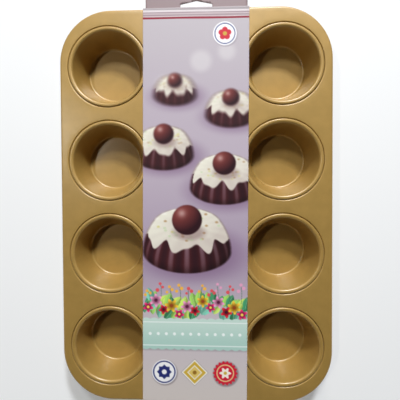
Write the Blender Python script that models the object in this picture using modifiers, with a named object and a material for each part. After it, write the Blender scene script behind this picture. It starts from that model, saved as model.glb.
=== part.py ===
"""Muffin pan of coated sheet steel, in the cardboard sleeve that it is sold in.

The pan lies level with its cups open upwards: X across it, Y along it, Z up. The origin is
under its middle, on the surface that it stands on. Lengths are in metres.

A frame is pressed from one sheet: each hole has a recessed seat, and its outer edge is rolled
round a steel wire. A drawn cup hangs by its rolled lip in each seat. The sleeve is one card
blank, wrapped lengthwise round the middle of the pan. Its two ends are glued together into a
header with a hole for a shop hook.
"""

import math

import bmesh
import bpy
from mathutils import Vector

MM = 0.001

# Sheet steel, and the space left between pieces that touch
SHEET = 0.5 * MM
SEAT_GAP = 0.3 * MM

# Frame: the metal between two holes, and from the outermost holes to the outside of the rim
ROWS = 4
COLUMN_NAMES = ("left", "middle", "right")
ROW_GAP = 12.8 * MM
COLUMN_GAP = 6.2 * MM
END_FLANGE = 15.3 * MM
SIDE_FLANGE = 8.05 * MM
CORNER_RADIUS = 50.5 * MM
SEAT_ROLL = 1.2 * MM
WIRE_RADIUS = 1.25 * MM
CURL_ANGLE = math.radians(280)

# Cup: radii are of its inner face, where the straight lines of the profile would meet
CUP_HEIGHT = 30 * MM
FLOOR_RADIUS = 27.6 * MM
FLOOR_FILLET = 2 * MM
MOUTH_RADIUS = 35.4 * MM
LIP_WIDTH = 3.8 * MM
LIP_DEPTH = 2.6 * MM
LIP_PROUD = 0.5 * MM

# Sleeve; the hook hole has straight sides under a low roof
CARD = 0.5 * MM
SLEEVE_WIDTH = 102.5 * MM
FOOT_BEND = 1.5 * MM
HEADER_DROP = 15 * MM
HEADER_REACH = 27 * MM
HOOK_HOLE_WIDTH = 32 * MM
HOOK_HOLE_SIDE = 4.6 * MM
HOOK_HOLE_ROOF = 3.4 * MM
HOOK_HOLE_SETBACK = 13 * MM
CUT_OVERRUN = 2 * MM

# How finely round shapes are divided
CUP_SEGMENTS = 22
CORNER_STEPS = 6
CURL_STEPS = 7
WIRE_RESOLUTION = 2
MERGE_DISTANCE = 0.01 * MM

# Levels and sizes that follow from the ones above
CUP_BASE_Z = CARD + SEAT_GAP
LIP_TOP_Z = CUP_BASE_Z + CUP_HEIGHT
SHEET_TOP_Z = LIP_TOP_Z - LIP_PROUD
CURL_RADIUS = WIRE_RADIUS + SEAT_GAP + SHEET
CURL_Z = SHEET_TOP_Z - CURL_RADIUS
WALL_LEAN = math.atan2(MOUTH_RADIUS - FLOOR_RADIUS, CUP_HEIGHT - SHEET)
LIP_RADIUS = MOUTH_RADIUS + LIP_WIDTH
SEAT_RADIUS = LIP_RADIUS + SEAT_GAP
SEAT_DEPTH = LIP_DEPTH - LIP_PROUD + SEAT_GAP
ROW_PITCH = 2 * SEAT_RADIUS + ROW_GAP
COLUMN_PITCH = 2 * SEAT_RADIUS + COLUMN_GAP
PAN_LENGTH = ROWS * ROW_PITCH - ROW_GAP + 2 * END_FLANGE
PAN_WIDTH = len(COLUMN_NAMES) * COLUMN_PITCH - COLUMN_GAP + 2 * SIDE_FLANGE


def clear_scene():
    """Remove the objects that Blender starts with."""
    for found in list(bpy.data.objects):
        bpy.data.objects.remove(found)


def new_collection(name):
    """A collection in the scene, for the parts or for the cutters."""
    made = bpy.data.collections.new(name)
    bpy.context.scene.collection.children.link(made)
    return made


def new_material(name, colour, metallic, roughness):
    """A Principled material of one colour."""
    made = bpy.data.materials.new(name)
    made.use_nodes = True
    shader = made.node_tree.nodes["Principled BSDF"]
    shader.inputs["Base Color"].default_value = (*colour, 1)
    shader.inputs["Metallic"].default_value = metallic
    shader.inputs["Roughness"].default_value = roughness
    return made


def new_object(name, data, collection, material=None):
    """An object holding data, linked to a collection."""
    made = bpy.data.objects.new(name, data)
    collection.objects.link(made)
    if material:
        data.materials.append(material)
    return made


def rounded_path(corners, steps, closed=False):
    """Points along straight lines whose corners are arcs; corners are (x, y, radius).

    An arc is made smaller where its lines are too short, and two arcs share a line."""
    count = len(corners)
    points = []
    for i, (x, y, radius) in enumerate(corners):
        here = Vector((x, y))
        if radius == 0 or not closed and i in (0, count - 1):
            points.append(here)
            continue
        before, after = corners[i - 1], corners[(i + 1) % count]
        back = Vector(before[:2]) - here
        ahead = Vector(after[:2]) - here
        half_turn = (math.pi - back.angle(ahead)) / 2
        reach = min(radius * math.tan(half_turn), back.length / (2 if before[2] else 1),
                    ahead.length / (2 if after[2] else 1))
        radius = reach / math.tan(half_turn)
        bisector = (back.normalized() + ahead.normalized()).normalized()
        centre = here + bisector * (radius / math.cos(half_turn))
        start = here + back.normalized() * reach - centre
        turn = start.angle_signed(here + ahead.normalized() * reach - centre)
        for step in range(steps + 1):
            angle = -turn * step / steps
            cosine, sine = math.cos(angle), math.sin(angle)
            points.append(centre + Vector((start.x * cosine - start.y * sine,
                                           start.x * sine + start.y * cosine)))
    return points


def without_repeats(points):
    """The points of a path, each once where arcs meet."""
    pairs = zip(points, points[1:])
    return points[:1] + [here for last, here in pairs if (here - last).length > MERGE_DISTANCE]


def offset_corners(corners, distance):
    """The corners of a closed outline, run anticlockwise, moved outwards with their arcs."""
    moved = []
    count = len(corners)
    for i, (x, y, radius) in enumerate(corners):
        here = Vector((x, y))
        along_in = (here - Vector(corners[i - 1][:2])).normalized()
        along_out = (Vector(corners[(i + 1) % count][:2]) - here).normalized()
        normal_in = Vector((along_in.y, -along_in.x))
        normal_out = Vector((along_out.y, -along_out.x))
        mitre = (normal_in + normal_out).normalized()
        shifted = here + mitre * (distance / mitre.dot(normal_in))
        moved.append((shifted.x, shifted.y, radius + distance if radius else 0))
    return moved


def flat_shape(name, outlines, half_thickness=0.0):
    """A mesh of flat outlines, the first one solid and the others holes in it."""
    curve = bpy.data.curves.new(name, "CURVE")
    curve.dimensions = "2D"
    curve.fill_mode = "BOTH"
    curve.extrude = half_thickness
    for outline in outlines:
        spline = curve.splines.new("POLY")
        spline.points.add(len(outline) - 1)
        for point, (x, y) in zip(spline.points, outline):
            point.co = (x, y, 0, 1)
        spline.use_cyclic_u = True
    holder = bpy.data.objects.new(name, curve)
    bpy.context.scene.collection.objects.link(holder)
    graph = bpy.context.evaluated_depsgraph_get()
    mesh = bpy.data.meshes.new_from_object(holder.evaluated_get(graph))
    bpy.data.objects.remove(holder)
    shape = bmesh.new()
    shape.from_mesh(mesh)
    bmesh.ops.remove_doubles(shape, verts=shape.verts, dist=MERGE_DISTANCE)
    bmesh.ops.recalc_face_normals(shape, faces=shape.faces)
    shape.to_mesh(mesh)
    shape.free()
    return mesh


def thicken(target, thickness):
    """Give an open surface its sheet thickness, on the side that its faces turn from."""
    solidify = target.modifiers.new("sheet", "SOLIDIFY")
    solidify.thickness = thickness
    solidify.offset = -1
    solidify.use_even_offset = True
    solidify.use_quality_normals = True


def smooth(mesh):
    """Shade round faces smooth and leave real edges sharp."""
    mesh.shade_smooth()
    mesh.set_sharp_from_angle(angle=math.radians(50))


def rim_outline(inset):
    """Corner points of the frame's outline, moved in by inset, each with its outward normal."""
    radius = CORNER_RADIUS - inset
    points = []
    for quarter in range(4):
        middle = math.radians(45 + 90 * quarter)
        centre = Vector((math.copysign(PAN_WIDTH / 2 - CORNER_RADIUS, math.cos(middle)),
                         math.copysign(PAN_LENGTH / 2 - CORNER_RADIUS, math.sin(middle))))
        for step in range(CORNER_STEPS + 1):
            angle = math.radians(90 * (quarter + step / CORNER_STEPS))
            normal = Vector((math.cos(angle), math.sin(angle)))
            points.append((centre + normal * radius, normal))
    return points


def cup_places():
    """Name and middle of each cup. Row 1 is at the header's end."""
    for row in range(ROWS):
        for column, side in enumerate(COLUMN_NAMES):
            x = (column - (len(COLUMN_NAMES) - 1) / 2) * COLUMN_PITCH
            y = ((ROWS - 1) / 2 - row) * ROW_PITCH
            yield f"cup_row{row + 1}_{side}", Vector((x, y))


def circle(centre, radius):
    """Points round a circle, divided as the cups are."""
    turns = [2 * math.pi * step / CUP_SEGMENTS for step in range(CUP_SEGMENTS)]
    return [centre + radius * Vector((math.cos(turn), math.sin(turn))) for turn in turns]


def cup_wall_outside(height):
    """Radius of a cup's outer face at a height above its underside."""
    inner = FLOOR_RADIUS + (height - SHEET) * math.tan(WALL_LEAN)
    return inner + SHEET / math.cos(WALL_LEAN)


def seat_profile():
    """Top face of the frame from the flat into a seat, as (radius, height over the sheet)."""
    throat = cup_wall_outside(CUP_HEIGHT - LIP_PROUD - SEAT_DEPTH) + SEAT_GAP
    roll = min(SEAT_ROLL, SEAT_DEPTH / 2)
    return [(SEAT_RADIUS + roll, 0), (SEAT_RADIUS, -roll), (SEAT_RADIUS, -SEAT_DEPTH),
            (throat, -SEAT_DEPTH)]


def curl_profile():
    """Top face of the frame round its rolled rim, as (way out from the flat, height)."""
    angles = [math.pi / 2 - CURL_ANGLE * step / CURL_STEPS for step in range(CURL_STEPS + 1)]
    return [(CURL_RADIUS * math.cos(a), CURL_RADIUS * (math.sin(a) - 1)) for a in angles]


def extrude_loop(shape, vertices, place):
    """Extrude the open edges between vertices and put each new vertex where place says."""
    inside = set(vertices)
    edges = [e for e in shape.edges if e.is_boundary and inside.issuperset(e.verts)]
    made = bmesh.ops.extrude_edge_only(shape, edges=edges)["geom"]
    moved = [item for item in made if isinstance(item, bmesh.types.BMVert)]
    for vertex in moved:
        vertex.co = place(vertex.co)
    return moved


def frame_sheet(collection, material):
    """The pressed frame: a flat with a recessed seat at each hole and a rolled rim."""
    rim = rim_outline(CURL_RADIUS)
    seat = seat_profile()
    centres = [centre for _, centre in cup_places()]
    holes = [circle(centre, seat[0][0]) for centre in centres]
    mesh = flat_shape("frame_sheet", [[point for point, _ in rim], *holes])
    shape = bmesh.new()
    shape.from_mesh(mesh)
    if sum(face.normal.z for face in shape.faces) < 0:
        bmesh.ops.reverse_faces(shape, faces=shape.faces)
    open_points = [v for v in shape.verts if v.is_boundary]

    for centre in centres:
        loop = [v for v in open_points
                if (v.co.xy - centre).length < seat[0][0] + MERGE_DISTANCE]
        for radius, height in seat[1:]:
            def into_seat(co, radius=radius, height=height, centre=centre):
                out = (co.xy - centre).normalized() * radius
                return Vector((*(centre + out), height))
            loop = extrude_loop(shape, loop, into_seat)

    def nearest_on_rim(co):
        return min(rim, key=lambda pair: (pair[0] - co.xy).length)

    loop = [v for v in open_points
            if (nearest_on_rim(v.co)[0] - v.co.xy).length < MERGE_DISTANCE]
    for out, height in curl_profile()[1:]:
        def round_wire(co, out=out, height=height):
            base, normal = nearest_on_rim(co)
            return Vector((*(base + normal * out), height))
        loop = extrude_loop(shape, loop, round_wire)

    shape.to_mesh(mesh)
    shape.free()
    smooth(mesh)
    made = new_object("frame_sheet", mesh, collection, material)
    made.location.z = SHEET_TOP_Z
    thicken(made, SHEET)


def rim_wire(collection, material):
    """The steel wire inside the rolled rim."""
    path = rim_outline(CURL_RADIUS)
    curve = bpy.data.curves.new("rim_wire", "CURVE")
    curve.dimensions = "3D"
    curve.bevel_depth = WIRE_RADIUS
    curve.bevel_resolution = WIRE_RESOLUTION
    spline = curve.splines.new("POLY")
    spline.points.add(len(path) - 1)
    for point, (place, _) in zip(spline.points, path):
        point.co = (*place, 0, 1)
    spline.use_cyclic_u = True
    made = new_object("rim_wire", curve, collection, material)
    made.location.z = CURL_Z


def cup_profile():
    """Inner face of a cup, from the middle of its floor up its wall and over its lip."""
    floor = rounded_path([(0, SHEET, 0), (FLOOR_RADIUS, SHEET, FLOOR_FILLET),
                          (MOUTH_RADIUS, CUP_HEIGHT, 0)], steps=1)
    lip = rounded_path([(FLOOR_RADIUS, SHEET, 0), (MOUTH_RADIUS, CUP_HEIGHT, LIP_WIDTH),
                        (LIP_RADIUS, CUP_HEIGHT, LIP_WIDTH),
                        (LIP_RADIUS, CUP_HEIGHT - LIP_DEPTH, 0)], steps=2)
    return floor[:-1] + without_repeats(lip[1:])


def cups(collection, material):
    """The drawn cups, each a turned shell hanging in its seat by its lip."""
    profile = cup_profile()
    mesh = bpy.data.meshes.new("cup")
    mesh.from_pydata([(radius, 0, height) for radius, height in profile],
                     [(i, i + 1) for i in range(len(profile) - 1)], [])
    mesh.materials.append(material)
    for name, centre in cup_places():
        made = new_object(name, mesh, collection)
        made.location = (*centre, CUP_BASE_Z)
        turn = made.modifiers.new("turned", "SCREW")
        turn.steps = turn.render_steps = CUP_SEGMENTS
        turn.use_merge_vertices = True
        turn.merge_threshold = MERGE_DISTANCE
        turn.use_smooth_shade = True
        thicken(made, SHEET)


def card_loop():
    """Inner corners of the sleeve's loop round the pan, anticlockwise, as (y, z, radius).

    Each end is pulled tight from the last cup's floor to the rolled rim."""
    hug = CURL_RADIUS + SEAT_GAP
    end_y = PAN_LENGTH / 2 + SEAT_GAP
    top_z = LIP_TOP_Z + SEAT_GAP
    foot_y = (ROWS - 1) / 2 * ROW_PITCH + FLOOR_RADIUS + SHEET + SEAT_GAP
    way = Vector((end_y - hug - foot_y, CURL_Z - CARD))
    slope = math.atan2(way.y, way.x) - math.asin(hug / way.length)
    leave_z = CURL_Z - hug * math.tan((math.pi / 2 - slope) / 2)
    right = [(foot_y, CARD, FOOT_BEND), (end_y, leave_z, hug), (end_y, top_z, hug)]
    left = [(-y, z, radius) for y, z, radius in reversed(right)]
    return right + left


def sleeve(collection, cutters, material):
    """The card sleeve: a loop of one thickness with a header of two, pierced for a hook."""
    inner = card_loop()
    outer = offset_corners(inner, CARD)
    header_z = LIP_TOP_Z - HEADER_DROP
    (foot_y, foot_z, _), (side_y, side_z, _) = outer[:2]
    header_end = PAN_LENGTH / 2 + HEADER_REACH

    def side_at(z):
        return foot_y + (side_y - foot_y) * (z - foot_z) / (side_z - foot_z)

    header = [(side_at(header_z - CARD), header_z - CARD, 0),
              (header_end, header_z - CARD, 0), (header_end, header_z + CARD, 0),
              (side_at(header_z + CARD), header_z + CARD, 0)]
    outline = outer[:1] + header + outer[1:]
    mesh = flat_shape("sleeve", [rounded_path(outline, 3, closed=True),
                                 rounded_path(inner, 3, closed=True)], SLEEVE_WIDTH / 2)
    made = new_object("sleeve", mesh, collection, material)
    made.rotation_euler = (math.pi / 2, 0, math.pi / 2)

    half = HOOK_HOLE_WIDTH / 2
    hook_hole = [(-half, -HOOK_HOLE_SIDE), (half, -HOOK_HOLE_SIDE), (half, 0),
                 (0, HOOK_HOLE_ROOF), (-half, 0)]
    cutter = new_object("hook_hole", flat_shape("hook_hole", [hook_hole], CARD + CUT_OVERRUN),
                        cutters)
    cutter.location = (0, header_end - HOOK_HOLE_SETBACK - HOOK_HOLE_ROOF, header_z)
    cutter.hide_render = True
    cutter.display_type = "WIRE"
    pierce = made.modifiers.new("hook_hole", "BOOLEAN")
    pierce.operation = "DIFFERENCE"
    pierce.object = cutter


def main():
    """Build the pan and its sleeve."""
    clear_scene()
    parts = new_collection("muffin_pan")
    cutters = new_collection("cutters")
    coating = new_material("gold_coating", (0.55, 0.41, 0.18), 0.85, 0.42)
    steel = new_material("plain_steel", (0.55, 0.55, 0.56), 1.0, 0.35)
    card = new_material("printed_card", (0.72, 0.66, 0.70), 0.0, 0.45)
    frame_sheet(parts, coating)
    rim_wire(parts, steel)
    cups(parts, coating)
    sleeve(parts, cutters, card)


main()
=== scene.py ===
"""The looks of the muffin pan and of the card sleeve that it is sold in.

Lengths are in metres, in the frame of the solid model: X across the pan, Y along it towards
the sleeve's header, Z up. The pieces take their places from the nodes that they stand for.
"""

import math

import bpy
import numpy as np
from mathutils import Matrix, Vector
from mathutils.geometry import delaunay_2d_cdt

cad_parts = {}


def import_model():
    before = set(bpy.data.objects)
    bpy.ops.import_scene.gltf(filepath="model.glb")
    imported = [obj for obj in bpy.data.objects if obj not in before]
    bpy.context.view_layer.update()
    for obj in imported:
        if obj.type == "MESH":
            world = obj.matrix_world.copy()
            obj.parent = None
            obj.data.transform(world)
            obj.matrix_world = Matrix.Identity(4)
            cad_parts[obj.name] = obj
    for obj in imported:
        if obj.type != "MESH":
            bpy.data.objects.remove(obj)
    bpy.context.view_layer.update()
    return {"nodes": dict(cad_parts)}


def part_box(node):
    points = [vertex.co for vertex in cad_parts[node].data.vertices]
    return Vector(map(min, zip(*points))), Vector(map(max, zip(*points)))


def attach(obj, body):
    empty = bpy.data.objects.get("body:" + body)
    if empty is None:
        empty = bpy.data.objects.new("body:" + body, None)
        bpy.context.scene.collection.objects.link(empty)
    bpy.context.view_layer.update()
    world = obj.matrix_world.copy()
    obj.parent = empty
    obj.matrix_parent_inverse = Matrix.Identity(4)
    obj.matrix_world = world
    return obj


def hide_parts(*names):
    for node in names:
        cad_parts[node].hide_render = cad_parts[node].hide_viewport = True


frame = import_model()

MM = 0.001

# Sizes that the solid model has too; only the fillet round a cup's floor is a little larger
SHEET = 0.5 * MM
SEAT_GAP = 0.3 * MM
CORNER_RADIUS = 50.5 * MM
SIDE_FLANGE = 8.05 * MM
END_FLANGE = 15.3 * MM
SEAT_ROLL = 1.2 * MM
WIRE_RADIUS = 1.25 * MM
CURL_ANGLE = math.radians(280)
FLOOR_RADIUS = 27.6 * MM
FLOOR_FILLET = 2.2 * MM
MOUTH_RADIUS = 35.4 * MM
LIP_DEPTH = 2.6 * MM
LIP_PROUD = 0.5 * MM
CARD = 0.5 * MM
FOOT_BEND = 1.5 * MM
HEADER_DROP = 15 * MM
HOOK_HOLE_WIDTH = 32 * MM
HOOK_HOLE_SIDE = 4.6 * MM
HOOK_HOLE_ROOF = 3.4 * MM
HOOK_HOLE_SETBACK = 13 * MM

# Fine forms that only this model has
SEAT_TURN = 0.6 * MM
FLOOR_CROWN = 0.25 * MM
CROWN_SHARE = 0.9
LIP_TUCK = 0.7 * MM
HEADER_FOLD_GAP = 0.6 * MM
HEADER_CORNER = 2.5 * MM
HOOK_HOLE_CORNER = 0.6 * MM
GLUE_GAP = 0.02 * MM
CREASE_DEPTH = 0.16 * MM

# The sleeve sits a little askew on the pan: this far sideways for each length along it
SKEW = 0.0085

# How finely the forms are divided
CUP_SEGMENTS = 144
CORNER_STEPS = 24
CURL_STEPS = 28
SEAT_STEPS = 8
FLOOR_RINGS = 10
FILLET_STEPS = 10
LIP_STEPS = 12
FOLD_STEPS = 10
HEADER_CORNER_STEPS = 8
HOOK_HOLE_STEPS = 4
WIRE_SIDES = 16
RIM_STEP = 5 * MM
WIRE_STEP = 20 * MM
WALL_STEP = 3 * MM
CARD_STEP = 5 * MM
HEADER_STEP = 2 * MM
PRINT_STEP = 0.6 * MM
FRAME_GRID, FRAME_MARGIN = 6 * MM, 2.5 * MM
HEADER_GRID, HEADER_MARGIN = 2 * MM, 0.8 * MM
MERGE_DISTANCE = 0.02 * MM
LEVEL_SLACK = 0.01 * MM

# Sizes read off the nodes
CUPS = [node for node in frame["nodes"] if node.startswith("cup_")]
CUP_LOW, CUP_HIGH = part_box("cup_row1_left")
SLEEVE_LOW, SLEEVE_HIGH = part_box("sleeve")
CUP_HEIGHT = CUP_HIGH.z - CUP_LOW.z
LIP_RADIUS = (CUP_HIGH.x - CUP_LOW.x) / 2
LIP_TOP_Z = CUP_HIGH.z
SHEET_TOP_Z = LIP_TOP_Z - LIP_PROUD
SEAT_RADIUS = LIP_RADIUS + SEAT_GAP
SLEEVE_WIDTH = SLEEVE_HIGH.x - SLEEVE_LOW.x
SEAT_DEPTH = LIP_DEPTH - LIP_PROUD + SEAT_GAP
WALL_LEAN = math.atan2(MOUTH_RADIUS - FLOOR_RADIUS, CUP_HEIGHT - SHEET)
CURL_RADIUS = WIRE_RADIUS + SEAT_GAP + SHEET
CURL_Z = SHEET_TOP_Z - CURL_RADIUS


def node_middle(node):
    """Middle of a node's box, seen from above."""
    low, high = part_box(node)
    return (low.xy + high.xy) / 2


PLACES = {node: node_middle(node) for node in CUPS}
PAN_WIDTH = 2 * (max(p.x for p in PLACES.values()) + SEAT_RADIUS + SIDE_FLANGE)
PAN_LENGTH = 2 * (max(p.y for p in PLACES.values()) + SEAT_RADIUS + END_FLANGE)


def new_piece(name, points, faces, materials, body):
    """A smooth mesh object that rides on a body."""
    mesh = bpy.data.meshes.new(name)
    mesh.from_pydata([tuple(p) for p in points], [], [tuple(int(i) for i in f) for f in faces])
    mesh.validate()
    mesh.shade_smooth()
    for material in materials:
        mesh.materials.append(material)
    made = bpy.data.objects.new(name, mesh)
    bpy.context.scene.collection.objects.link(made)
    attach(made, body)
    return made


def thicken(piece, thickness, back=0, edge=0):
    """Give a surface its sheet thickness behind its faces; back and edge are material steps."""
    solidify = piece.modifiers.new("sheet", "SOLIDIFY")
    solidify.thickness = thickness
    solidify.offset = -1
    solidify.use_even_offset = True
    solidify.material_offset = back
    solidify.material_offset_rim = edge


def rounded_path(corners, steps, closed=False):
    """Points along straight lines whose corners are arcs; corners are (x, y, radius).

    An arc is made smaller where its lines are too short for it, and where two arcs meet on a
    line, each gets half of it."""
    count = len(corners)
    points = []
    for i, (x, y, radius) in enumerate(corners):
        here = Vector((x, y))
        if radius == 0 or not closed and i in (0, count - 1):
            points.append(here)
            continue
        before, after = corners[i - 1], corners[(i + 1) % count]
        back = Vector(before[:2]) - here
        ahead = Vector(after[:2]) - here
        half_turn = (math.pi - back.angle(ahead)) / 2
        reach = min(radius * math.tan(half_turn), back.length / (2 if before[2] else 1),
                    ahead.length / (2 if after[2] else 1))
        radius = reach / math.tan(half_turn)
        bisector = (back.normalized() + ahead.normalized()).normalized()
        centre = here + bisector * (radius / math.cos(half_turn))
        start = here + back.normalized() * reach - centre
        turn = start.angle_signed(here + ahead.normalized() * reach - centre)
        for step in range(steps + 1):
            angle = -turn * step / steps
            cosine, sine = math.cos(angle), math.sin(angle)
            points.append(centre + Vector((start.x * cosine - start.y * sine,
                                           start.x * sine + start.y * cosine)))
    return points


def filled(points, spacing):
    """A path with points added so that none lie further apart than spacing."""
    made = [points[0]]
    for start, end in zip(points, points[1:]):
        parts = max(1, math.ceil((end - start).length / spacing))
        made += [start.lerp(end, part / parts) for part in range(1, parts + 1)]
    return made


def circle(centre, radius, count):
    """Points round a circle, anticlockwise."""
    turns = [2 * math.pi * step / count for step in range(count)]
    return [centre + radius * Vector((math.cos(turn), math.sin(turn))) for turn in turns]


def inside_outline(points, outline):
    """Which of the points lie inside a closed outline."""
    x, y = points[:, 0], points[:, 1]
    inside = np.zeros(len(points), bool)
    for start, end in zip(outline, outline[1:] + outline[:1]):
        spans = (start.y > y) != (end.y > y)
        rise = end.y - start.y if end.y != start.y else 1
        inside ^= spans & (x < start.x + (y - start.y) * (end.x - start.x) / rise)
    return inside


def flat_sheet(outline, holes, spacing, margin):
    """Points and triangles of a flat sheet with holes.

    The outline's points come first, then each hole's, in the order given. Then comes a grid
    as fine as spacing, whose points keep margin from every edge."""
    loops = [outline, *holes]
    points = [p for loop in loops for p in loop]
    edges = []
    for loop in loops:
        first = len(edges)
        edges += [(first + i, first + (i + 1) % len(loop)) for i in range(len(loop))]
    low = np.array([min(p[i] for p in outline) for i in (0, 1)])
    high = np.array([max(p[i] for p in outline) for i in (0, 1)])
    grid = np.stack(np.meshgrid(*(np.arange(low[i], high[i], spacing) for i in (0, 1))), -1)
    grid = grid.reshape(-1, 2)
    border = np.array([tuple(p) for p in points])
    keep = inside_outline(grid, outline)
    for hole in holes:
        keep &= ~inside_outline(grid, hole)
    grid = grid[keep]
    near = np.array([((border - p) ** 2).sum(1).min() for p in grid])
    points += [Vector(p) for p in grid[near > margin ** 2]]
    made, _, faces, *_ = delaunay_2d_cdt(points, edges, [], 0, 1e-9, False)
    middles = np.array([np.mean([made[i] for i in face], axis=0) for face in faces])
    keep = inside_outline(middles, outline)
    for hole in holes:
        keep &= ~inside_outline(middles, hole)
    return made, [face for face, kept in zip(faces, keep) if kept]


def ring_faces(first, second, count, closed=True):
    """Quads between two rows of points; the first row lies nearer to the middle."""
    return [(first + (i + 1) % count, first + i, second + i, second + (i + 1) % count)
            for i in range(count if closed else count - 1)]


# Pan


def rim_outline(inset, steps, spacing):
    """Points of the frame's outline moved in by inset, each with its outward normal."""
    radius = CORNER_RADIUS - inset
    ends = []
    for quarter in range(4):
        middle = math.radians(45 + 90 * quarter)
        centre = Vector((math.copysign(PAN_WIDTH / 2 - CORNER_RADIUS, math.cos(middle)),
                         math.copysign(PAN_LENGTH / 2 - CORNER_RADIUS, math.sin(middle))))
        for step in range(steps + 1):
            angle = math.radians(90 * (quarter + step / steps))
            normal = Vector((math.cos(angle), math.sin(angle)))
            ends.append((centre + normal * radius, normal))
    points = []
    for (start, normal), (end, last) in zip(ends, ends[1:] + ends[:1]):
        parts = max(1, math.ceil((end - start).length / spacing))
        points += [(start.lerp(end, part / parts), normal.lerp(last, part / parts).normalized())
                   for part in range(parts)]
    return points


def seat_profile():
    """Top face of the frame from the flat into a seat, as (radius, height over the sheet)."""
    throat_height = CUP_HEIGHT - LIP_PROUD - SEAT_DEPTH
    throat = (FLOOR_RADIUS + (throat_height - SHEET) * math.tan(WALL_LEAN)
              + SHEET / math.cos(WALL_LEAN) + SEAT_GAP)
    corners = [(SEAT_RADIUS + 2 * SEAT_ROLL, 0, 0), (SEAT_RADIUS, 0, SEAT_ROLL),
               (SEAT_RADIUS, -SEAT_DEPTH, SEAT_TURN), (throat, -SEAT_DEPTH, 0)]
    return [tuple(p) for p in rounded_path(corners, SEAT_STEPS)][1:]


def frame_sheet(material):
    """The pressed frame, with its recessed seats and its rolled rim."""
    rim = rim_outline(CURL_RADIUS, CORNER_STEPS, RIM_STEP)
    seat = seat_profile()
    holes = [circle(place, seat[0][0], CUP_SEGMENTS) for place in PLACES.values()]
    flat, faces = flat_sheet([p for p, _ in rim], holes, FRAME_GRID, FRAME_MARGIN)
    points = [(p.x, p.y, 0) for p in flat]
    faces = [tuple(face) for face in faces]

    ring_start = len(rim)
    for place in PLACES.values():
        before = ring_start
        for radius, height in seat[1:]:
            after = len(points)
            points += [(p.x, p.y, height) for p in circle(place, radius, CUP_SEGMENTS)]
            faces += ring_faces(after, before, CUP_SEGMENTS)
            before = after
        ring_start += CUP_SEGMENTS

    before = 0
    for step in range(1, CURL_STEPS + 1):
        angle = math.pi / 2 - CURL_ANGLE * step / CURL_STEPS
        out, height = CURL_RADIUS * math.cos(angle), CURL_RADIUS * (math.sin(angle) - 1)
        after = len(points)
        points += [(*(p + normal * out), height) for p, normal in rim]
        faces += ring_faces(before, after, len(rim))
        before = after

    placed = [(x, y, z + SHEET_TOP_Z) for x, y, z in points]
    piece = new_piece("pressed_frame", placed, faces, [material], "pan")
    thicken(piece, SHEET)
    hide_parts("frame_sheet")


def rim_wire(material):
    """The wire that the rim is rolled round."""
    path = rim_outline(CURL_RADIUS, CORNER_STEPS, WIRE_STEP)
    points = []
    for place, normal in path:
        for side in range(WIRE_SIDES):
            angle = 2 * math.pi * side / WIRE_SIDES
            out = normal * (WIRE_RADIUS * math.cos(angle))
            points.append((*(place + out), CURL_Z + WIRE_RADIUS * math.sin(angle)))
    faces = []
    for i in range(len(path)):
        here, there = i * WIRE_SIDES, (i + 1) % len(path) * WIRE_SIDES
        for k in range(WIRE_SIDES):
            after = (k + 1) % WIRE_SIDES
            faces.append((here + k, there + k, there + after, here + after))
    piece = new_piece("rim_wire_core", points, faces, [material], "pan")
    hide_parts("rim_wire")


def cup_profile():
    """Inner face of a cup from the middle of its floor, up its wall and over its lip."""
    crowned = FLOOR_RADIUS * CROWN_SHARE
    floor = [Vector((radius, SHEET + FLOOR_CROWN * (1 - (radius / FLOOR_RADIUS) ** 2)))
             for radius in np.linspace(0, crowned, FLOOR_RINGS)]
    bend = rounded_path([(crowned, SHEET, 0), (FLOOR_RADIUS, SHEET, FLOOR_FILLET),
                         (MOUTH_RADIUS, CUP_HEIGHT, 0)], FILLET_STEPS)[1:-1]
    width = LIP_RADIUS - MOUTH_RADIUS
    lip = rounded_path([(FLOOR_RADIUS, SHEET, 0), (MOUTH_RADIUS, CUP_HEIGHT, width),
                        (LIP_RADIUS, CUP_HEIGHT, width),
                        (LIP_RADIUS, CUP_HEIGHT - LIP_DEPTH, LIP_TUCK),
                        (LIP_RADIUS - LIP_TUCK, CUP_HEIGHT - LIP_DEPTH, 0)], LIP_STEPS)[1:]
    wall = filled([bend[-1], lip[0]], WALL_STEP)[1:-1]
    path = floor + bend + wall + lip
    apart = [path[0]]
    for point in path[1:]:
        if (point - apart[-1]).length > MERGE_DISTANCE:
            apart.append(point)
    return apart


def cups(material):
    """The twelve drawn cups, each hanging by its lip."""
    profile = cup_profile()
    points = [(0, 0, profile[0].y)]
    faces = []
    for k, (radius, height) in enumerate(profile[1:]):
        ring = circle(Vector((0, 0)), radius, CUP_SEGMENTS)
        points += [(p.x, p.y, height) for p in ring]
        first = 1 + k * CUP_SEGMENTS
        if k == 0:
            faces += [(0, first + i, first + (i + 1) % CUP_SEGMENTS)
                      for i in range(CUP_SEGMENTS)]
        else:
            faces += ring_faces(first - CUP_SEGMENTS, first, CUP_SEGMENTS)
    for node in CUPS:
        low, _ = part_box(node)
        place = PLACES[node]
        placed = [(x + place.x, y + place.y, z + low.z) for x, y, z in points]
        piece = new_piece(node.replace("cup_", "drawn_cup_"), placed, faces, [material], "pan")
        thicken(piece, SHEET)
        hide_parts(node)


# Sleeve


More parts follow.
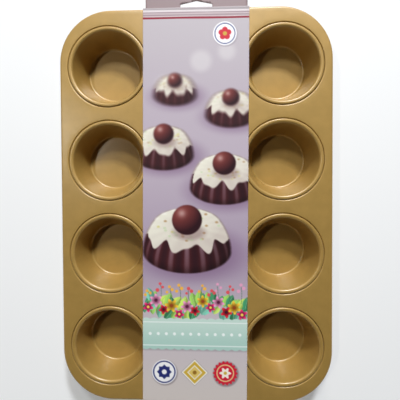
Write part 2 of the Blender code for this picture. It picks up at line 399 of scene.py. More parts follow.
def card_loop():
    """Outer corners of the sleeve's loop round the pan, anticlockwise, as (y, z, radius)."""
    hug = CURL_RADIUS + SEAT_GAP
    end_y = PAN_LENGTH / 2 + SEAT_GAP
    foot_y = max(p.y for p in PLACES.values()) + FLOOR_RADIUS + SHEET + SEAT_GAP
    way = Vector((end_y - hug - foot_y, CURL_Z - CARD))
    slope = math.atan2(way.y, way.x) - math.asin(hug / way.length)
    leave_z = CURL_Z - hug * math.tan((math.pi / 2 - slope) / 2)
    out_y = CARD * math.tan((math.pi / 2 - slope) / 2)
    foot_out = CARD * math.tan(slope / 2)
    right = [(foot_y + foot_out, 0, FOOT_BEND + CARD),
             (end_y + CARD, leave_z - out_y, hug + CARD),
             (end_y + CARD, SLEEVE_HIGH.z, hug + CARD)]
    left = [(-y, z, radius) for y, z, radius in reversed(right)]
    return right + left


def askew(x, y):
    """Where a point of the sleeve comes to lie across the pan."""
    return x + SKEW * y


def keep_print(piece, colours):
    """Keep a piece's printed colours, one for each point of its mesh."""
    layer = piece.data.color_attributes.new("print", "FLOAT_COLOR", "POINT")
    layer.data.foreach_set("color", np.column_stack([colours, np.ones(len(colours))]).ravel())


def sleeve_wrap(print_material, back_material, core_material):
    """The card loop round the pan, printed outside."""
    corners = card_loop()
    start = (0, 0, 0)
    path = rounded_path([start, *corners, start], FOLD_STEPS)
    top = SLEEVE_HIGH.z - LEVEL_SLACK
    fine = [path[0]]
    for here, there in zip(path, path[1:]):
        on_front = here.y > top and there.y > top
        fine += filled([here, there], PRINT_STEP if on_front else CARD_STEP)[1:]
    fine = fine[:-1]

    count = round(SLEEVE_WIDTH / PRINT_STEP) + 1
    across = np.linspace(-SLEEVE_WIDTH / 2, SLEEVE_WIDTH / 2, count)
    along = np.array([tuple(p) for p in fine])
    run = np.concatenate([[0], np.cumsum(np.linalg.norm(np.diff(along, axis=0), axis=1))])
    middle = np.interp(0, -along[along[:, 1] > top][:, 0], run[along[:, 1] > top])
    x, y = np.meshgrid(across, along[:, 0])
    z = np.meshgrid(across, along[:, 1])[1]
    v = np.meshgrid(across, middle - run)[1]
    v = v + SKEW * x
    z = z - crease_depth(v) * (z > top)
    points = np.stack([askew(x, y), y, z], -1).reshape(-1, 3)
    rows = len(fine)
    faces = []
    for i in range(rows):
        here, there = i * count, (i + 1) % rows * count
        faces += [(here + k, there + k, there + k + 1, here + k + 1) for k in range(count - 1)]
    piece = new_piece("card_sleeve_wrap", points, faces,
                      [print_material, back_material, core_material], "sleeve")
    keep_print(piece, print_colours(x.ravel() / MM, v.ravel() / MM))
    thicken(piece, CARD, back=1, edge=2)
    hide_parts("sleeve")


def sleeve_header(print_material, back_material, core_material):
    """The header's two glued layers, with the hook hole through both."""
    end_y = SLEEVE_HIGH.y
    header_z = LIP_TOP_Z - HEADER_DROP
    fold_y = PLACES["cup_row1_middle"].y + SEAT_RADIUS + HEADER_FOLD_GAP
    half = SLEEVE_WIDTH / 2
    outline = rounded_path([(-half, fold_y, 0), (half, fold_y, 0),
                            (half, end_y, HEADER_CORNER), (-half, end_y, HEADER_CORNER)],
                           HEADER_CORNER_STEPS, closed=True)
    ridge = end_y - HOOK_HOLE_SETBACK
    eaves = ridge - HOOK_HOLE_ROOF
    sill = eaves - HOOK_HOLE_SIDE
    wide = HOOK_HOLE_WIDTH / 2
    hole = rounded_path([(x, y, HOOK_HOLE_CORNER) for x, y in (
        (-wide, sill), (wide, sill), (wide, eaves), (0, ridge), (-wide, eaves))],
        HOOK_HOLE_STEPS, closed=True)
    outline = filled(outline + outline[:1], HEADER_STEP)[:-1]
    hole = filled(hole + hole[:1], HEADER_STEP)[:-1]
    flat, faces = flat_sheet(outline, [hole], HEADER_GRID, HEADER_MARGIN)
    for name, level, printed_up in (("front", header_z + CARD, True),
                                    ("back", header_z - CARD, False)):
        points = [(askew(p.x, p.y), p.y, level) for p in flat]
        turned = faces if printed_up else [list(reversed(face)) for face in faces]
        piece = new_piece(f"card_header_{name}", points, turned,
                          [print_material, back_material, core_material], "sleeve")
        # The header's darker tone is painted shade
        keep_print(piece, np.tile(linear(HEADER_SHADED_TONE), (len(flat), 1)))
        thicken(piece, CARD - GLUE_GAP, back=1, edge=2)
        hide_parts("sleeve")


# Print on the sleeve. Places and sizes in it are in millimetres: u across, v along from the
# front's middle towards the header. Colours are as seen on a screen, 0 to 255.

# Where the scored lines, the red line, the upper end and the front's ends lie
CREASES = (187.5, 185.0)
CREASE_WIDTH = 0.45
RED_LINE = 182.4
UPPER_END = 190
FRONT_ENDS = (207, 209)

# Where the pictures lie: cakes as (place, size, blur), and pale spots as (place, radius)
CAKES = (((-20, 115), 20, 4.6), ((34, 97), 24, 3.2), ((-31, 60), 29, 1.9),
         ((28, 30), 33, 1.0), ((-8, -29), 43, 0.5))
SPOTS = (((5, 141), 10), ((30, 150), 8), ((-30, 118), 9))
FRIEZE_V = -98
BAND_V = -125
ORNAMENTS_V = -163
ORNAMENT_PITCH = 30
LABEL = (28, 167)

# Ground: its tone by the upper end, then each change to a next tone on the way down, as
# (from, to, tone) with places counted down from the middle
TOP_TONE = (190, 181, 186)
GROUND_TONES = ((-190, -60, (188, 174, 186)), (-60, 60, (172, 154, 173)),
                (60, 120, (200, 189, 193)), (130, 190, (207, 197, 192)))
# Painted shade: the header is printed darker than the front, standing in for the shade it lies
# in
HEADER_SHADED_TONE = (150, 131, 132)
BACK_TONE = (196, 186, 191)

DARK_CAKE = (50, 20, 28)
RIDGE = (176, 150, 166)
CHOCOLATE = (96, 38, 38)
BALL_TONES = ((44, 16, 24), (128, 58, 54))
ICING = (236, 230, 214)
ICING_SHADE = (196, 180, 172)
FLECKS = ((214, 206, 132), (178, 140, 96), (200, 214, 176))
LEAVES = ((150, 200, 92), (64, 140, 96), (120, 190, 168), (186, 214, 96))
BERRIES = ((244, 180, 70), (226, 84, 90), (228, 160, 190), (70, 60, 90))
BLOSSOMS = (((216, 36, 104), (250, 214, 90)), ((242, 178, 50), (150, 70, 30)),
            ((206, 32, 52), (60, 24, 40)), ((236, 142, 182), (90, 30, 60)))
MINT_TONES = ((198, 220, 209), (172, 205, 194))
STITCH = (240, 246, 242)
PAPER = (244, 242, 242)
CREAM = (240, 236, 226)
SOFT_SHADOW = (120, 108, 112)
NAVY = (38, 46, 110)
GOLD = (206, 170, 66)
RED = (206, 34, 56)


def linear(colour):
    """Linear light from a colour as seen on a screen, 0 to 255."""
    value = np.clip(np.asarray(colour, float), 0, 255) / 255
    return np.where(value <= 0.04045, value / 12.92, ((value + 0.055) / 1.055) ** 2.4)


def ramp_between(value, low, high):
    """0 below low, 1 above high, smooth between."""
    t = np.clip((value - low) / (high - low), 0, 1)
    return t * t * (3 - 2 * t)


def blend(first, second, share):
    """Colours between two colours."""
    share = np.asarray(share)[..., None]
    return np.asarray(first, float) * (1 - share) + np.asarray(second, float) * share


class Print:
    """A painted surface: points at (u, v) and their screen colours."""

    def __init__(self, u, v, ground):
        self.u, self.v = u, v
        self.colour = np.array(ground, float) if np.ndim(ground) == 2 else np.tile(
            np.asarray(ground, float), (len(u), 1))

    def window(self, centre, reach):
        """Which points lie near a place, and where they lie seen from it."""
        du, dv = self.u - centre[0], self.v - centre[1]
        near = np.flatnonzero((abs(du) < reach) & (abs(dv) < reach))
        return near, du[near], dv[near]

    def paint(self, near, distance, blur, colour, strength=1.0):
        """Lay a colour where distance is below zero, with an edge that is blur wide."""
        cover = (ramp_between(-distance, -blur / 2, blur / 2) * strength)[:, None]
        self.colour[near] += cover * (np.asarray(colour, float) - self.colour[near])

    def disc(self, centre, radius, colour, blur=0.8, strength=1.0, squash=1.0):
        near, du, dv = self.window(centre, radius + blur)
        self.paint(near, np.hypot(du, dv / squash) - radius, blur, colour, strength)

    def bar(self, low, high, colour, blur=0.8, strength=1.0):
        """A band right across, between two places along the card."""
        middle, half = (low + high) / 2, (high - low) / 2
        near = np.flatnonzero(abs(self.v - middle) < half + blur)
        self.paint(near, abs(self.v[near] - middle) - half, blur, colour, strength)


def ring_cake(picture, centre, size, blur, rng):
    """A fluted ring cake with icing and a chocolate ball on it, seen from above its front.

    Inside, lengths are shares of size: the foot's circle has radius 1, and each level's
    circle looks squashed and lies higher up, from base_v to top_v."""
    flutes, squash = 16, 0.5
    base_v, top_v, top_radius = -0.34, 0.26, 0.78
    hollow_radius, ball_radius, ball_v = 0.30, 0.34, top_v + 0.12
    near, du, dv = picture.window(centre, size * 1.5 + blur)
    u, v = du / size, dv / size
    soft = blur / size
    crisp = 1 / (1 + blur / 2)

    shadow = np.hypot(u - 0.12, (v - base_v + 0.06) / squash)
    picture.paint(near, (shadow - 1.12) * squash, 0.5 + soft, (128, 98, 130), 0.75)

    levels = np.linspace(0, 1, 9)
    widths = 1 - (1 - top_radius) * levels ** 2
    outline = np.min([(np.hypot(u / w, (v - base_v - (top_v - base_v) * t) / (w * squash)) - 1)
                      * w * squash for t, w in zip(levels, widths)], axis=0)

    # The level that shows at each point, found in steps, and where round the cake that is
    level = np.full(len(u), 0.5)
    for _ in range(16):
        width = 1 - (1 - top_radius) * level ** 2
        across = np.clip(u / width, -0.999, 0.999)
        facing = np.sqrt(1 - across ** 2)
        found = np.clip((v - base_v + squash * width * facing) / (top_v - base_v), 0, 1)
        level = (level + found) / 2
    turn = np.arcsin(across)
    rib = 0.5 + 0.5 * np.cos(flutes * turn) * crisp
    lit = 0.62 + 0.38 * (0.75 * facing - 0.45 * across)
    body = blend(DARK_CAKE, CHOCOLATE, 0.75 * rib * lit)
    dusting = ramp_between(rib, 0.55, 0.95) * (0.35 + 0.5 * level) * facing ** 0.5
    body = blend(body, RIDGE, dusting * 0.75) * lit[:, None] ** 0.5
    body *= (0.72 + 0.28 * ramp_between(level, 0, 0.35))[:, None]
    picture.paint(near, outline, 0.03 + soft, body)

    # Icing with a wavy lower edge, the hollow in its middle, and flecks on it
    drips = 0.20 + 0.13 * np.cos(flutes / 2 * turn + rng.uniform(0, 6))
    drips += 0.07 * np.cos(flutes * 0.8 * turn + rng.uniform(0, 6)) + 0.2 * (1 - facing)
    edge = (1 - drips) - level
    top = np.hypot(u / top_radius, (v - top_v) / (top_radius * squash))
    angle = np.arctan2((v - top_v) / squash, u)
    outward = np.clip((top - 0.6) / 0.46, -1, 1)
    side = v < top_v
    outward = np.where((level < 0.999) & side & (top > 1), 1.0, outward)
    lighting = outward * (-0.55 * np.cos(angle) + 0.65 * np.sin(angle))
    ripple = 0.06 * np.cos(flutes * angle) * ramp_between(top, 0.5, 1.0)
    tone = np.clip(0.66 + 0.42 * lighting + ripple, 0, 1)
    icing = blend(ICING_SHADE, ICING, np.clip(tone * 1.25, 0, 1))
    icing = blend(icing, (255, 252, 244), ramp_between(tone, 0.85, 1.0) * 0.6)
    cover = np.minimum((top - 1) * top_radius * squash,
                       np.where(side, np.maximum(edge * 0.6, outline), outline))
    picture.paint(near, cover, 0.03 + soft, icing)
    picture.paint(near, (top - hollow_radius) * top_radius * squash, 0.05 + soft,
                  (120, 80, 80))
    for _ in range(26):
        place_angle, place_radius = rng.uniform(0, 2 * math.pi), rng.uniform(0.5, 0.95)
        fleck = (centre[0] + size * top_radius * place_radius * math.cos(place_angle),
                 centre[1] + size * (top_v + top_radius * squash * place_radius
                                     * math.sin(place_angle)))
        tint = FLECKS[rng.integers(len(FLECKS))]
        picture.disc(fleck, 0.035 * size, tint, 0.03 * size + blur, crisp, 0.7)

    ball = np.hypot(u, v - ball_v) / ball_radius
    bulge = np.sqrt(np.clip(1 - ball ** 2, 0, 1))
    facing_light = np.clip((-0.45 * u + 0.6 * (v - ball_v)) / ball_radius + 0.66 * bulge, 0, 1)
    chocolate = blend(*BALL_TONES, facing_light)
    glint = np.exp(-(np.hypot(u + 0.12, v - ball_v - 0.15) / 0.09) ** 2)
    chocolate = blend(chocolate, (226, 196, 190), glint * 0.6)
    picture.paint(near, (np.hypot(u - 0.05, (v - top_v + 0.16) / 0.5) - 0.36) * 0.6,
                  0.14 + soft, (140, 112, 110), 0.6)
    picture.paint(near, (ball - 1) * ball_radius, 0.03 + soft, chocolate)


def stem(picture, start, end, sag, width, colour):
    """A thin bent stalk between two places."""
    for part in np.linspace(0, 1, 24):
        bend = sag * 4 * part * (1 - part)
        place = (start[0] + (end[0] - start[0]) * part + bend,
                 start[1] + (end[1] - start[1]) * part)
        picture.disc(place, width / 2, colour, 0.7)


def blossom(picture, centre, radius, petals, colour, heart, turn=0.0):
    """A simple flower with rounded petals."""
    near, du, dv = picture.window(centre, radius * 1.3)
    angle = np.arctan2(dv, du) + turn
    away = np.hypot(du, dv)
    edge = radius * (0.80 + 0.20 * np.cos(petals * angle))
    shade = ramp_between(away / radius, 0.15, 0.9) * (0.8 + 0.2 * np.cos(petals * angle))
    tones = blend(np.asarray(colour) * 0.62, np.minimum(np.asarray(colour) * 1.12 + 8, 255),
                  shade)
    picture.paint(near, away - edge, 0.9, tones)
    picture.paint(near, away - radius * 0.26, 0.8, heart)


def leaf(picture, start, length, direction, colour, fullness=0.26):
    """A pointed leaf with a paler midrib; direction is in degrees."""
    turn = math.radians(direction)
    way = (math.cos(turn), math.sin(turn))
    middle = (start[0] + way[0] * length / 2, start[1] + way[1] * length / 2)
    near, du, dv = picture.window(middle, length * 0.6 + 1)
    along = (du * way[0] + dv * way[1]) / (length / 2)
    across = -du * way[1] + dv * way[0]
    width = length * fullness * np.clip(1 - along ** 2, 0, None)
    tones = blend(np.asarray(colour) * 0.8, np.minimum(np.asarray(colour) * 1.15, 255),
                  ramp_between(across, -length * 0.2, length * 0.2))
    picture.paint(near, np.maximum(abs(across) - width, (abs(along) - 1) * length / 2),
                  0.8, tones)
    picture.paint(near, np.maximum(abs(across) - 0.15, (abs(along) - 0.8) * length / 2),
                  0.8, (226, 240, 214), 0.6)


def wave(u):
    """How far the frieze swings up or down at a place across the card."""
    return 3.5 * math.sin(u / 9)


def frieze(picture, rng):
    """A row of simple flowers and leaves right across the card."""
    for u in np.linspace(-49, 49, 29):
        v = FRIEZE_V + wave(u)
        for direction in (70 + rng.uniform(-35, 35), 250 + rng.uniform(-30, 30)):
            leaf(picture, (u, v), rng.uniform(9, 16), direction,
                 LEAVES[rng.integers(len(LEAVES))])
    foot = FRIEZE_V + 4
    for u in np.linspace(-45, 45, 10):
        tip = (u + rng.uniform(-5, 5), FRIEZE_V + 18 + rng.uniform(-6, 5))
        tint = BERRIES[rng.integers(len(BERRIES))]
        stem(picture, (u, foot), tip, rng.uniform(-2, 2), 0.6, (84, 110, 92))
        for share, aside in ((1.0, 0), (0.82, 2.6), (0.66, -2.4)):
            place = (u + (tip[0] - u) * share + aside, foot + (tip[1] - foot) * share)
            picture.disc(place, rng.uniform(1.2, 1.9), tint, 0.8)
    for i, u in enumerate(np.linspace(-46, 46, 13)):
        colour, heart = BLOSSOMS[(i * 3) % len(BLOSSOMS)]
        v = FRIEZE_V - 0.5 + wave(u) + (3.4 if i % 2 else -3.4)
        radius = rng.uniform(5.8, 7.4) if i % 2 else rng.uniform(4.8, 6)
        blossom(picture, (u, v), radius, 5 + i % 2, colour, heart, rng.uniform(0, 1))


def ornaments(picture):
    """Three plain ornaments in a row near the lower end."""
    left, middle, right = ((side * ORNAMENT_PITCH, ORNAMENTS_V) for side in (-1, 0, 1))

    for centre in (left, right):
        picture.disc((centre[0] + 0.6, centre[1] - 0.8), 12.6, SOFT_SHADOW, 2.4, 0.7)
    for radius, colour in ((12.2, PAPER), (11.2, NAVY), (9.9, PAPER)):
        picture.disc(left, radius, colour)
    near, du, dv = picture.window(left, 10)
    for turn in (0, math.pi / 4):
        a, b = (du * math.cos(turn) + dv * math.sin(turn),
                -du * math.sin(turn) + dv * math.cos(turn))
        picture.paint(near, np.maximum(abs(a), abs(b)) - 5.2, 0.8, NAVY)
    picture.disc(left, 2.4, PAPER)

    near, du, dv = picture.window(middle, 16)
    for half, colour in ((13.4, SOFT_SHADOW), (13.0, CREAM), (11.2, GOLD), (7.4, CREAM),
                         (6.2, (222, 192, 104))):
        picture.paint(near, (abs(du) + abs(dv) - half) * 0.7, 0.8, colour)
    picture.disc(middle, 2.0, (150, 110, 40))

    near, du, dv = picture.window(right, 14)
    away, angle = np.hypot(du, dv), np.arctan2(dv, du)
    picture.paint(near, away - 11.4 - 0.8 * np.cos(18 * angle), 0.8, RED)
    picture.paint(near, away - 8.6, 0.8, (238, 214, 150))
    picture.paint(near, away - 7.6, 0.8, RED)
    picture.paint(near, away - 4.6 - 1.2 * np.cos(6 * angle), 0.8, (248, 240, 226))
    picture.disc(right, 1.6, GOLD)


def band(picture):
    """A pale green band right across, with scalloped edges, stitches and dots."""
    picture.bar(BAND_V - 16.5, BAND_V + 14, (130, 122, 128), 3, 0.5)
    near = np.flatnonzero(abs(picture.v - BAND_V) < 20)
    u, v = picture.u[near], picture.v[near]
    scallop = abs(v - BAND_V) - 14.6 - 1.2 * np.abs(np.cos(u * math.pi / 8))
    tones = blend(*MINT_TONES, ramp_between(BAND_V - v, -15, 15))
    picture.paint(near, scallop, 0.8, tones)
    for place in (BAND_V + 11.5, BAND_V - 11.5):
        picture.bar(place - 0.4, place + 0.4, STITCH, 0.8)
    for place in np.linspace(-44, 44, 12):
        picture.disc((place, BAND_V), 1.5, STITCH)


def upper_end(picture):
    """The front's bend into the header: a pale border, creases and a red line, with painted
    highlight and shade.
    """
    picture.bar(RED_LINE, UPPER_END, (194, 176, 178), 0.8)
    # Painted shade: darker print over the bend, where the bend catches the most light
    picture.bar(UPPER_END, UPPER_END + 20, (156, 146, 148), 1.2)
    # Painted highlight: a paler strip just below the bend
    picture.bar(UPPER_END - 2, UPPER_END, (226, 214, 216), 0.8)
    # Painted shade: a darker line printed along each scored crease, standing in for the shade
    # in its groove
    for place in CREASES:
        picture.bar(place - 0.4, place + 0.4, (142, 118, 126), 0.6, 0.85)
    picture.bar(RED_LINE - 0.9, RED_LINE + 0.9, (142, 10, 40), 0.5)


def label(picture):
    """A round label with a plain flower."""
    u, v = LABEL
    picture.disc((u + 0.6, v - 0.8), 11.6, (150, 136, 146), 2.2, 0.7)
    for radius, colour in ((11.4, (246, 244, 244)), (10.0, NAVY), (9.2, (246, 244, 244))):
        picture.disc(LABEL, radius, colour)
    for petal in range(5):
        turn = math.radians(90 + 72 * petal)
        picture.disc((u + 3.6 * math.cos(turn), v + 3.6 * math.sin(turn)), 2.7, RED)
    picture.disc(LABEL, 2.0, GOLD)


def print_colours(u, v):
    """Linear colour of the sleeve's outside."""
    rng = np.random.default_rng(7)
    ground = TOP_TONE
    for low, high, tone in GROUND_TONES:
        ground = blend(ground, tone, ramp_between(-v, low, high))
    picture = Print(u, v, ground)
    for place, radius in SPOTS:
        picture.disc(place, radius, (222, 216, 216), 8, 0.5)
    for place, size, blur in CAKES:
        ring_cake(picture, place, size, blur, rng)
    frieze(picture, rng)
    band(picture)
    ornaments(picture)
    upper_end(picture)
    label(picture)
    return linear(blend(picture.colour, BACK_TONE, ramp_between(abs(v), *FRONT_ENDS)))


def crease_depth(v):
    """How deep the scored lines are, in metres, at v metres along the card."""
    return CREASE_DEPTH * sum(np.exp(-((v / MM - place) / CREASE_WIDTH) ** 2)
                              for place in CREASES)


# Materials

# Noise runs mostly between these two values
NOISE_SPAN = (0.3, 0.7)


def colour_ramp(tree, source, stops):
    """Colours by a value from 0 to 1; stops are (place, colour)."""
    node = tree.nodes.new("ShaderNodeValToRGB")
    elements = node.color_ramp.elements
    while len(elements) < len(stops):
        elements.new(0.5)
    for element, (where, colour) in zip(elements, stops):
        element.position = where
        element.color = (*colour, 1)
    tree.links.new(source, node.inputs["Fac"])
    return node.outputs["Color"]


class Nodes:
    """Short ways to build a material's nodes."""

    def __init__(self, name):
        self.material = bpy.data.materials.new(name)
        self.material.use_nodes = True
        self.tree = self.material.node_tree
        self.shader = self.tree.nodes["Principled BSDF"]
        self.place = self.add("ShaderNodeTexCoord").outputs["Object"]

    def add(self, kind, **settings):
        node = self.tree.nodes.new(kind)
        for key, value in settings.items():
            setattr(node, key, value)
        return node

    def link(self, source, target):
        self.tree.links.new(source, target)

    def noise(self, size, detail=2.0, stretch=(1, 1, 1)):
        """Noise whose features are about size metres across."""
        mapping = self.add("ShaderNodeMapping")
        mapping.inputs["Scale"].default_value = stretch
        self.link(self.place, mapping.inputs["Vector"])
        node = self.add("ShaderNodeTexNoise")
        node.inputs["Scale"].default_value = 1 / size
        node.inputs["Detail"].default_value = detail
        self.link(mapping.outputs["Vector"], node.inputs["Vector"])
        return node.outputs["Fac"]

    def between(self, source, low, high):
        """Colours or greys between two, by a noise."""
        tones = [tone if isinstance(tone, tuple) else (tone,) * 3 for tone in (low, high)]
        return colour_ramp(self.tree, source, list(zip(NOISE_SPAN, tones)))

    def bump(self, source, strength, distance, after=None):
        node = self.add("ShaderNodeBump")
        node.inputs["Strength"].default_value = strength
        node.inputs["Distance"].default_value = distance
        self.link(source, node.inputs["Height"])
        if after:
            self.link(after, node.inputs["Normal"])
        return node.outputs["Normal"]


def gold_coating():
    """Champagne-gold non-stick coating: satin, with a fine metal flake."""
    nodes = Nodes("gold_coating")
    shader = nodes.shader
    shader.inputs["Metallic"].default_value = 0.3
    shader.inputs["Coat Weight"].default_value = 1
    shader.inputs["Coat Roughness"].default_value = 0.3
    mottle = nodes.noise(9 * MM, 3)
    colour = nodes.between(mottle, (0.385, 0.230, 0.051), (0.425, 0.254, 0.059))
    nodes.link(colour, shader.inputs["Base Color"])
    grain = nodes.noise(0.5 * MM, 2)
    nodes.link(nodes.between(grain, 0.57, 0.65), shader.inputs["Roughness"])
    flake = nodes.bump(grain, 0.2, 0.02 * MM)
    soft = nodes.bump(nodes.noise(14 * MM, 2), 0.15, 0.25 * MM, flake)
    nodes.link(soft, shader.inputs["Normal"])
    return nodes.material


def plain_steel():
    """Bright drawn wire."""
    nodes = Nodes("plain_steel")
    shader = nodes.shader
    shader.inputs["Metallic"].default_value = 1
    streaks = nodes.noise(0.4 * MM, 3)
    colour = nodes.between(streaks, (0.42, 0.42, 0.43), (0.60, 0.60, 0.61))
    nodes.link(colour, shader.inputs["Base Color"])
    nodes.link(nodes.between(streaks, 0.28, 0.42), shader.inputs["Roughness"])
    nodes.link(nodes.bump(streaks, 0.2, 0.02 * MM), shader.inputs["Normal"])
    return nodes.material


def printed_card():
    """Varnished print on white-lined card."""
    nodes = Nodes("printed_card")
    shader = nodes.shader
    colour = nodes.add("ShaderNodeVertexColor", layer_name="print")
    nodes.link(colour.outputs["Color"], shader.inputs["Base Color"])
    shader.inputs["Specular IOR Level"].default_value = 0.25
    fibre = nodes.noise(0.8 * MM, 3)
    nodes.link(nodes.between(fibre, 0.45, 0.55), shader.inputs["Roughness"])
    fine = nodes.bump(fibre, 0.12, 0.03 * MM)
    nodes.link(nodes.bump(nodes.noise(30 * MM, 1), 0.1, 0.6 * MM, fine),
               shader.inputs["Normal"])
    return nodes.material


def card_back():
    """The unprinted inside of the card, greyish with darker fibres."""
    nodes = Nodes("card_back")
    shader = nodes.shader
    shader.inputs["Roughness"].default_value = 0.85
    fibre = nodes.noise(0.7 * MM, 5, (1, 0.35, 1))
    colour = nodes.between(fibre, (0.42, 0.38, 0.33), (0.60, 0.56, 0.50))
    nodes.link(colour, shader.inputs["Base Color"])
    nodes.link(nodes.bump(fibre, 0.3, 0.04 * MM), shader.inputs["Normal"])
    return nodes.material


def card_core():
    """The cut edge of the card, pale and a little rough."""
    nodes = Nodes("card_core")
    shader = nodes.shader
    shader.inputs["Roughness"].default_value = 0.9
    fibre = nodes.noise(0.3 * MM, 3)
    colour = nodes.between(fibre, (0.62, 0.58, 0.54), (0.80, 0.77, 0.73))
    nodes.link(colour, shader.inputs["Base Color"])
    nodes.link(nodes.bump(fibre, 0.4, 0.05 * MM), shader.inputs["Normal"])
    return nodes.material


# Room: floor, light and camera

# Strength of the backdrop to the camera and in gloss, where 1 would be white, and of the
# ceiling in gloss; the backdrop reaches up to one share of Z and is gone at the next
BACKDROP = 0.9
CEILING = 0.02
BACKDROP_TOP = (0.2, 0.4)

# Light from all round, by share of Y, and along the horizon, by share of Z
ROOM_LIGHT = ((-1, 0.006), (-0.3, 0.01), (0.2, 0.015), (0.6, 0.025))
HORIZON_LIGHT = ((-0.15, 0), (-0.05, 1), (0.08, 1), (0.2, 0))

# Floor: besides its shaded grey it glows to the camera and in gloss, from FLOOR_GLOW near the
# pan to the backdrop's strength, between two distances
FLOOR_SIZE = 12.0
FLOOR_DROP = 0.3 * MM
FLOOR_GREY = 0.66
FLOOR_GLOW = 0.25
FLOOR_FADE = (0.25, 1.4)

# Lamps: azimuth in degrees clockwise from the header's side, elevation, side of the square
# in metres, watts and colour
LAMP_DISTANCE = 2
LAMPS = {"low": (10.8, 38.3, 0.22, 36, (0.9, 0.95, 1)),
         "high": (-6, 48, 0.24, 13.3, (0.92, 0.97, 1)),
         "grazing": (0, 28, 0.3, 6.7, (1, 0.87, 0.76)),
         "left": (-69, 61, 0.08, 4.6, (1, 0.95, 0.82))}


def rays(tree, *kinds):
    """1 for these kinds of ray, or else 0."""
    path = tree.nodes.new("ShaderNodeLightPath")
    total = path.outputs[kinds[0]]
    for kind in kinds[1:]:
        either = tree.nodes.new("ShaderNodeMath")
        either.operation = "MAXIMUM"
        tree.links.new(total, either.inputs[0])
        tree.links.new(path.outputs[kind], either.inputs[1])
        total = either.outputs[0]
    return total


def floor():
    """A plain pale floor that fades into the backdrop away from the pan."""
    bpy.ops.mesh.primitive_grid_add(x_subdivisions=8, y_subdivisions=8, size=FLOOR_SIZE,
                                    location=(0, 0, -FLOOR_DROP))
    made = bpy.context.object
    made.name = "floor"
    nodes = Nodes("floor")
    nodes.shader.inputs["Roughness"].default_value = 0.8
    nodes.shader.inputs["Base Color"].default_value = (FLOOR_GREY, FLOOR_GREY, FLOOR_GREY, 1)
    away = nodes.add("ShaderNodeVectorMath", operation="LENGTH")
    nodes.link(nodes.place, away.inputs[0])
    fade = nodes.add("ShaderNodeMapRange", interpolation_type="SMOOTHSTEP")
    for socket, value in zip(("From Min", "From Max", "To Min", "To Max"),
                             (*FLOOR_FADE, FLOOR_GLOW, BACKDROP)):
        fade.inputs[socket].default_value = value
    nodes.link(away.outputs["Value"], fade.inputs["Value"])
    seen = nodes.add("ShaderNodeMath", operation="MULTIPLY")
    nodes.link(fade.outputs["Result"], seen.inputs[0])
    nodes.link(rays(nodes.tree, "Is Camera Ray", "Is Glossy Ray", "Is Transmission Ray"),
               seen.inputs[1])
    nodes.shader.inputs["Emission Color"].default_value = (1, 1, 1, 1)
    nodes.link(seen.outputs["Value"], nodes.shader.inputs["Emission Strength"])
    made.data.materials.append(nodes.material)


def world():
    """Weak light from all round, brighter along the horizon; eye and gloss see the backdrop."""
    made = bpy.data.worlds.new("studio")
    bpy.context.scene.world = made
    made.use_nodes = True
    tree = made.node_tree
    where = tree.nodes.new("ShaderNodeTexCoord")
    parts = tree.nodes.new("ShaderNodeSeparateXYZ")
    tree.links.new(where.outputs["Generated"], parts.inputs["Vector"])

    def along(axis, stops):
        """Strength by the direction's share of an axis, from -1 to 1."""
        halved = tree.nodes.new("ShaderNodeMath")
        halved.operation = "MULTIPLY_ADD"
        halved.inputs[1].default_value = 0.5
        halved.inputs[2].default_value = 0.5
        tree.links.new(parts.outputs[axis], halved.inputs[0])
        return colour_ramp(tree, halved.outputs[0],
                           [((place + 1) / 2, (strength,) * 3) for place, strength in stops])

    def seen_by(kinds, other, shown):
        """What is shown to some kinds of ray, and the other strength to the rest."""
        mix = tree.nodes.new("ShaderNodeMix")
        mix.data_type = "FLOAT"
        tree.links.new(rays(tree, *kinds), mix.inputs["Factor"])
        tree.links.new(other, mix.inputs["A"])
        if isinstance(shown, float):
            mix.inputs["B"].default_value = shown
        else:
            tree.links.new(shown, mix.inputs["B"])
        return mix.outputs["Result"]

    light = tree.nodes.new("ShaderNodeMath")
    light.operation = "ADD"
    tree.links.new(along("Y", ROOM_LIGHT), light.inputs[0])
    tree.links.new(along("Z", HORIZON_LIGHT), light.inputs[1])
    strength = seen_by(("Is Glossy Ray", "Is Transmission Ray"), light.outputs[0],
                       along("Z", list(zip(BACKDROP_TOP, (BACKDROP, CEILING)))))
    strength = seen_by(("Is Camera Ray",), strength, BACKDROP)
    background = tree.nodes["Background"]
    background.inputs["Color"].default_value = (1, 1, 1, 1)
    tree.links.new(strength, background.inputs["Strength"])


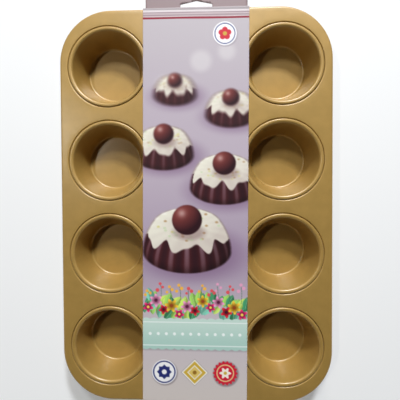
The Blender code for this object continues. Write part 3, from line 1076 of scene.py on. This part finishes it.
def lights():
    """Lamps turned to the pan's middle, most from the header's side and low enough to shade
    the cups' upper walls."""
    for name, (azimuth, elevation, side, power, colour) in LAMPS.items():
        turn, rise = math.radians(azimuth), math.radians(elevation)
        light = bpy.data.lights.new(name, "AREA")
        light.size = side
        light.energy = power
        light.color = colour
        made = bpy.data.objects.new(name, light)
        bpy.context.scene.collection.objects.link(made)
        made.location = LAMP_DISTANCE * Vector((math.sin(turn) * math.cos(rise),
                                                math.cos(turn) * math.cos(rise),
                                                math.sin(rise)))
        made.rotation_euler = (-made.location).to_track_quat("-Z", "Y").to_euler()


# Camera, from a fit to the rings of the cups and the rim in the photograph, in its pixels
IMAGE_SIZE = 400
FOCAL = 353.9
CENTRE = (192.4, 196.3)
TILT = tuple(math.radians(angle) for angle in (1.244, -2.256, 0.267))
PAN_SEEN_AT = Vector((2.78 * MM, -10.37 * MM, -345.84 * MM))


def camera():
    """The photograph's view, square on to the pan's face."""
    data = bpy.data.cameras.new("camera")
    data.sensor_width = 36
    data.lens = data.sensor_width * FOCAL / IMAGE_SIZE
    data.shift_x = (IMAGE_SIZE / 2 - CENTRE[0]) / IMAGE_SIZE
    data.shift_y = (CENTRE[1] - IMAGE_SIZE / 2) / IMAGE_SIZE
    data.clip_start = 0.01
    turn = (Matrix.Rotation(TILT[2], 3, "Z") @ Matrix.Rotation(TILT[1], 3, "Y")
            @ Matrix.Rotation(TILT[0], 3, "X"))
    made = bpy.data.objects.new("camera", data)
    bpy.context.scene.collection.objects.link(made)
    place = -(turn.transposed() @ PAN_SEEN_AT) + Vector((0, 0, SHEET_TOP_Z))
    made.matrix_world = Matrix.Translation(place) @ turn.transposed().to_4x4()
    bpy.context.scene.camera = made


def main():
    """Dress the model and set up the room."""
    coating = gold_coating()
    card = (printed_card(), card_back(), card_core())
    frame_sheet(coating)
    rim_wire(plain_steel())
    cups(coating)
    sleeve_wrap(*card)
    sleeve_header(*card)
    floor()
    world()
    lights()
    camera()
    bpy.context.scene.view_settings.view_transform = "Standard"


main()
